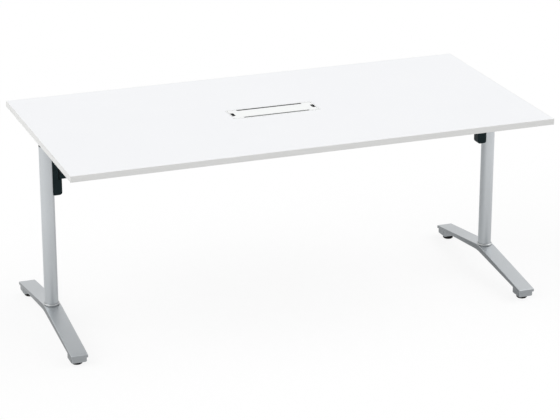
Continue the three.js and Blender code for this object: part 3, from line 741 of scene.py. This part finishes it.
def makeBrush(name, way):
    middle = middleOf("cable_lid")
    count = math.floor((brush["length"] - brush["margin"]) / brush["pitch"])
    start = middle.x - brush["pitch"] * (count - 1) / 2
    y = middle.y + way * (brush["wall"] - brush["reach"] / 2)
    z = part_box("cable_frame")[1].z - brush["below"]
    bpy.ops.object.select_all(action="DESELECT")
    bpy.ops.mesh.primitive_cone_add(vertices=brush["sides"], radius1=brush["root"], radius2=brush["tip"],
                                    depth=brush["reach"], location=(start, y, z),
                                    rotation=(way * math.pi / 2, 0, 0))
    hairs = applied()
    alongRow = (brush["pitch"], 0, 0)
    nextRow = (brush["pitch"] / brush["rows"], 0, -brush["rowPitch"])
    for number, step in ((count, alongRow), (brush["rows"], nextRow)):
        modify(hairs, "ARRAY", count=number, use_relative_offset=False, use_constant_offset=True,
               constant_offset_displace=step)
    edit(hairs)
    bpy.ops.transform.vertex_random(offset=brush["stray"], seed=brush["seed"])
    leaveEdit()
    smooth(hairs)
    settle(hairs, name, "black_plastic", "top")


makeBrush("front_slit_bristles", -1)
makeBrush("back_slit_bristles", 1)
print("bristles made")

# Dark seals in the groove between the frame and the worktop and in the gap round the lid; their dark strips are
# painted shadow lines of these gaps
frameShadowSeal = {"around": 0, "width": 0.0008, "depth": 0.0005, "below": 0.00004, "corner": 0.006, "steps": 8}
lidShadowSeal = {"around": 0.001, "width": 0.0009, "depth": 0.0004, "below": 0.0001, "corner": 0.0035, "steps": 6}


# a dark seal strip that paints the shadow line of a gap
def makeShadowSeal(name, node, seal):
    low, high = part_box(node)
    place = ((low.x + high.x) / 2, (low.y + high.y) / 2, high.z - seal["below"])
    strip = addSheet(high.x - low.x + 2 * seal["around"], high.y - low.y + 2 * seal["around"], place)
    edit(strip)
    bpy.ops.mesh.bevel(offset=seal["corner"], segments=seal["steps"], affect="VERTICES")
    leaveEdit()
    makeRim(strip, seal["width"], seal["depth"])
    settle(strip, name, "black_plastic", "top")


makeShadowSeal("cable_frame_shadow_seal", "cable_frame", frameShadowSeal)
makeShadowSeal("cable_lid_shadow_seal", "cable_lid", lidShadowSeal)
print("seals made")

# Dark plates on the frame's end walls, behind the finger notches: painted shade inside the frame
fingerShade = {"width": 0.031, "thickness": 0.0004, "gap": 0.0001, "mouth": 0.162, "below": 0.0008,
               "height": 0.019, "corner": 0.003, "cornerSteps": 4, "edge": 0.0001}


# a dark sheet that paints the shade inside the frame behind a notch
def makeFingerShade(name, way):
    low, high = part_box("cable_frame")
    reach = fingerShade["mouth"] - fingerShade["gap"] - fingerShade["thickness"] / 2
    place = ((low.x + high.x) / 2 + way * reach, (low.y + high.y) / 2,
             high.z - fingerShade["below"] - fingerShade["height"] / 2)
    plate = addBlock((fingerShade["thickness"], fingerShade["width"], fingerShade["height"]), place)
    chooseEdges(plate, lambda a, b: abs(a.x - b.x) > tiny)
    bpy.ops.mesh.bevel(offset=fingerShade["corner"], segments=fingerShade["cornerSteps"])
    leaveEdit()
    roundEdges(plate, fingerShade["edge"])
    smooth(plate)
    settle(plate, name, "black_plastic", "top")


makeFingerShade("left_finger_shade_plate", -1)
makeFingerShade("right_finger_shade_plate", 1)
print("finger plates made")

# Dark linings in the lid's finger notches: painted shade on the notch walls
notchShade = {"depth": 0.0125, "width": 0.032, "height": 0.0036, "thickness": 0.0004, "below": 0.0003,
          "corner": 0.004, "steps": 6}


# a dark sheet that paints the shade on a notch's walls
def makeNotchShade(name, way):
    low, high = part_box("cable_lid")
    end = high.x if way > 0 else low.x
    middle = end - way * notchShade["depth"] / 2
    place = (middle, (low.y + high.y) / 2, high.z - notchShade["below"])
    strip = addSheet(notchShade["depth"], notchShade["width"], place)
    chooseEdges(strip, lambda a, b: way * (a.x - middle) < 0 and way * (b.x - middle) < 0)
    bpy.ops.mesh.bevel(offset=notchShade["corner"], segments=notchShade["steps"], affect="VERTICES")
    leaveEdit()
    makeRim(strip, notchShade["thickness"], notchShade["height"],
            lambda centre, normal: way * (end - centre.x) < notchShade["thickness"])
    settle(strip, name, "black_plastic", "lid")


makeNotchShade("left_notch_shade_lining", -1)
makeNotchShade("right_notch_shade_lining", 1)
print("notch linings made")

# Brackets, beam, hinges and latch, each with the width of its eased edges
pressings = {"beam_bracket": 0.0006, "hinge_arm": 0.0006, "latch_quadrant": 0.0005,
             "rear_latch_guide": 0.0006, "front_latch_guide": 0.0006, "latch_bolt": 0.0004,
             "hinge_pin": 0.0004, "hinge_bush": 0.0003, "lower_clamp_bolt": 0.0004,
             "upper_clamp_bolt": 0.0004, "draw_bolt": 0.0005, "beam_plug": 0.0005, "column_plug": 0.0004}
beam = {"edge": 0.0003}
for side in sides:
    for part, edge in pressings.items():
        fine(side + "_" + part, edge)
fine("cross_beam", beam["edge"])
print("frame and hinges made")

releaseBar = {"wall": 0.0015, "edge": 0.0003, "sides": 48}
grip = {"wall": 0.003, "round": 0.002, "grooves": 17, "groove": 0.0007, "grooveWidth": 0.0026,
        "edge": 0.0004, "edgeSteps": 2, "edgeAngle": 20, "crease": 30, "sides": 48}


def makeRelease():
    low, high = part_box("release_bar")
    radius = (high.z - low.z) / 2
    ring = pipe(radius - releaseBar["wall"], radius, (high.x - low.x) / 2)
    tube = turn(ring, (low + high) / 2, releaseBar["sides"], (1, 0, 0))
    roundEdges(tube, releaseBar["edge"])
    smooth(tube)
    settle(tube, "release_bar_tube", "steel", "latch", "release_bar")

    low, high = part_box("release_grip")
    half = (high.x - low.x) / 2
    outer = radius + grip["wall"]
    profile = [(radius, -half), (outer - grip["round"], -half), (outer, grip["round"] - half)]
    pitch = 2 * (half - grip["round"]) / (grip["grooves"] + 1)
    for i in range(grip["grooves"]):
        place = grip["round"] - half + pitch * (i + 1)
        profile += [(outer, place - grip["grooveWidth"] / 2), (outer - grip["groove"], place),
                    (outer, place + grip["grooveWidth"] / 2)]
    profile += [(outer, half - grip["round"]), (outer - grip["round"], half), (radius, half), profile[0]]
    sleeve = turn(profile, (low + high) / 2, grip["sides"], (1, 0, 0))
    roundEdges(sleeve, grip["edge"], grip["edgeSteps"], grip["edgeAngle"])
    smooth(sleeve, grip["crease"])
    settle(sleeve, "release_grip_sleeve", "grip_rubber", "latch", "release_grip")


makeRelease()
print("release bar made")

# Extension springs that draw the bolts home, each from a rear guide to a stud on its bolt
spring = {"length": 0.060, "coil": 0.0030, "turns": 26, "turnSteps": 16, "wire": 0.00055, "wireSides": 8,
          "loop": 0.0024, "loopSteps": 24, "gap": 0.0006, "aside": 0.0088, "crease": 60}
stud = {"radius": 0.0014, "play": 0.00003, "head": 0.0030, "headLength": 0.0014, "past": 0.004,
        "edge": 0.0003, "sides": 24}


def makeSpring(side):
    inward = 1 if side == "left" else -1
    bolt = middleOf(side + "_latch_bolt")
    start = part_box(side + "_rear_latch_guide")[0].y
    axis = Vector((bolt.x + inward * spring["aside"], start, bolt.z))
    straight = spring["length"] - 4 * spring["loop"] - 2 * spring["gap"]
    bpy.ops.object.select_all(action="DESELECT")
    bpy.ops.mesh.primitive_circle_add(vertices=spring["wireSides"], radius=spring["wire"], location=(0, 0, 0))
    coil = bpy.context.active_object
    edit(coil)
    bpy.ops.transform.translate(value=(spring["coil"], 0, 0))
    leaveEdit()
    modify(coil, "SCREW", axis="Y", angle=2 * math.pi, screw_offset=straight / spring["turns"],
           iterations=spring["turns"], steps=spring["turnSteps"], render_steps=spring["turnSteps"],
           use_merge_vertices=False)
    edit(coil)
    closeEnds()
    bpy.ops.transform.translate(value=axis - Vector((0, straight + 2 * spring["loop"] + spring["gap"], 0)))
    leaveEdit()
    for y in (start - spring["loop"], start - spring["length"] + spring["loop"]):  # the loop at each end
        bpy.ops.object.select_all(action="DESELECT")
        bpy.ops.mesh.primitive_torus_add(major_radius=spring["loop"], major_segments=spring["loopSteps"],
                                         minor_radius=spring["wire"], minor_segments=spring["wireSides"],
                                         location=(axis.x, y, axis.z), rotation=(0, math.pi / 2, 0))
        coil.select_set(True)
        bpy.context.view_layer.objects.active = coil
        bpy.ops.object.join()
    smooth(coil, spring["crease"])
    settle(coil, side + "_latch_spring", "steel", "top")
    travel = next(joint for joint in frame["joints"] if joint["name"] == "latch_slide")["range_m"][1]
    hold = spring["length"] - spring["wire"]  # to where the end loop bears on its stud
    1 - travel / hold
    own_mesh(coil)

    reach = spring["aside"] + stud["past"]
    profile = [(0, 0), (stud["radius"], 0), (stud["radius"], reach), (stud["head"], reach),
               (stud["head"], reach + stud["headLength"]), (0, reach + stud["headLength"])]
    place = Vector((bolt.x, start - hold + stud["radius"] + stud["play"], bolt.z))
    rivet = turn(profile, place, stud["sides"], (inward, 0, 0))
    roundEdges(rivet, stud["edge"])
    smooth(rivet)
    settle(rivet, side + "_spring_stud", "steel", "latch")


for side in sides:
    makeSpring(side)
print("latch springs made")

# Pan head screws under the worktop, with a dome given as shares of the head's radius and height
screw = {"head": 0.0042, "height": 0.0024, "dome": ((1, 0.45), (0.86, 0.80), (0.55, 0.97)), "sides": 24,
         "edge": 0.0003, "edgeSteps": 2, "edgeAngle": 20, "crease": 35,
         "slot": 0.0011, "slotLength": 0.0050, "slotDepth": 0.0013}
screwed = {"flange": 0.0035, "flangeAcross": 0.017, "flangeAlong": 0.058, "ear": 0.003, "earAcross": 0.0153,
           "lip": 0.002, "lipAcross": 0.026, "lipAlong": (-0.70, -0.42, -0.14, 0.14, 0.42, 0.70),
           "tray": 0.0015, "trayInset": 0.009, "trayAcross": 0.030}


def screwPlaces():
    places = []
    for side in sides:
        middle, top = middleOf(side + "_hinge_arm"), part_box(side + "_hinge_arm")[1].z
        places += [(middle.x + i * screwed["flangeAcross"], middle.y + j * screwed["flangeAlong"],
                    top - screwed["flange"]) for i in (-1, 1) for j in (-1, 1)]
        for end in ("rear", "front"):
            guide = f"{side}_{end}_latch_guide"
            middle, top = middleOf(guide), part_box(guide)[1].z
            places += [(middle.x + i * screwed["earAcross"], middle.y, top - screwed["ear"]) for i in (-1, 1)]
    for rail in ("front_rail", "back_rail"):
        middle, top = middleOf(rail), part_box(rail)[1].z
        places += [(x, middle.y + i * screwed["lipAcross"], top - screwed["lip"])
                   for x in screwed["lipAlong"] for i in (-1, 1)]
    low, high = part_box("cable_tray")
    places += [(x, i * screwed["trayAcross"], high.z - screwed["tray"]) for i in (-1, 1)
               for x in (low.x + screwed["trayInset"], high.x - screwed["trayInset"])]
    return [Vector(place) for place in places]


def makeScrews():
    places = screwPlaces()
    radius, height = screw["head"], screw["height"]
    dome = [(radius * out, height * rise) for out, rise in screw["dome"]]
    first = turn([(0, 0), (radius, 0), *dome, (0, height)], places[0], screw["sides"], (0, 0, -1))
    roundEdges(first, screw["edge"], screw["edgeSteps"], screw["edgeAngle"])
    slotSize = (screw["slotLength"], screw["slot"], 2 * screw["slotDepth"])
    for angle in (0, math.pi / 2):
        cut(first, addBlock(slotSize, places[0] - Vector((0, 0, height)), angle))
    smooth(first, screw["crease"])
    settle(first, "worktop_screw_01", "steel", "top")
    for i, place in enumerate(places[1:], 2):
        copyTo(first, f"worktop_screw_{i:02d}", place - places[0], "top")


makeScrews()
print("screws made")


# Floor, light and backdrop
studio = {"floor": 60.0, "paper": (0.8, 0.8, 0.8, 1), "white": (1, 1, 1, 1), "rough": 1.0, "specular": 0.0,
          "shadow": 0.14, "sky": 0.50, "softness": 55,
          "lamps": {"left": (1.26, (-0.78, -0.12, 0.62)), "right": (1.30, (0.78, -0.12, 0.62))}}


def seenDirectly(shade):  # camera, mirror and glass rays
    path = shade.node("ShaderNodeLightPath", out="Is Camera Ray")
    rays = path.socket.node.outputs
    glossy = Shade(shade.tree, rays["Is Glossy Ray"])
    clear = Shade(shade.tree, rays["Is Transmission Ray"])
    return shade.math("MAXIMUM", shade.math("MAXIMUM", path, glossy), clear)


def makeFloor():
    bpy.ops.object.select_all(action="DESELECT")
    bpy.ops.mesh.primitive_plane_add(size=studio["floor"], location=(0, 0, 0))
    floor = bpy.context.active_object
    floor.name = "studio_floor"
    material = bpy.data.materials.new("studio floor")
    material.use_nodes = True
    tree = material.node_tree
    shade = Shade(tree)
    paper = tree.nodes["Principled BSDF"]
    direct = seenDirectly(shade)
    shade.feed(paper, {"Base Color": shade.mix(direct, studio["paper"], studio["white"])})
    paper.inputs["Roughness"].default_value = studio["rough"]
    paper.inputs["Specular IOR Level"].default_value = studio["specular"]
    white = shade.node("ShaderNodeEmission")
    share = direct * (1 - studio["shadow"])
    lit = shade.node("ShaderNodeMixShader", None, {0: share, 1: Shade(tree, paper.outputs[0]), 2: white})
    below = shade.node("ShaderNodeNewGeometry", out="Backfacing") * direct  # open to a view from underneath
    clear = shade.node("ShaderNodeBsdfTransparent")
    mixed = shade.node("ShaderNodeMixShader", None, {0: below, 1: lit, 2: clear})
    tree.links.new(mixed.socket, tree.nodes["Material Output"].inputs["Surface"])
    floor.data.materials.append(material)


def makeLight():
    world = bpy.data.worlds.new("studio")
    bpy.context.scene.world = world
    world.use_nodes = True
    shade = Shade(world.node_tree)
    sky = world.node_tree.nodes["Background"]
    direct = seenDirectly(shade)
    shade.feed(sky, {"Color": studio["white"], "Strength": studio["sky"] + direct * (1 - studio["sky"])})
    for name, (strength, place) in studio["lamps"].items():
        lamp = bpy.data.lights.new(name + " soft light", "SUN")
        lamp.energy = strength
        lamp.angle = math.radians(studio["softness"])
        sun = bpy.data.objects.new(lamp.name, lamp)
        sun.rotation_mode = "QUATERNION"
        sun.rotation_quaternion = Vector(place).to_track_quat("Z", "Y")
        bpy.context.scene.collection.objects.link(sun)
    bpy.context.scene.view_settings.view_transform = "Standard"


makeFloor()
makeLight()
print("studio made")
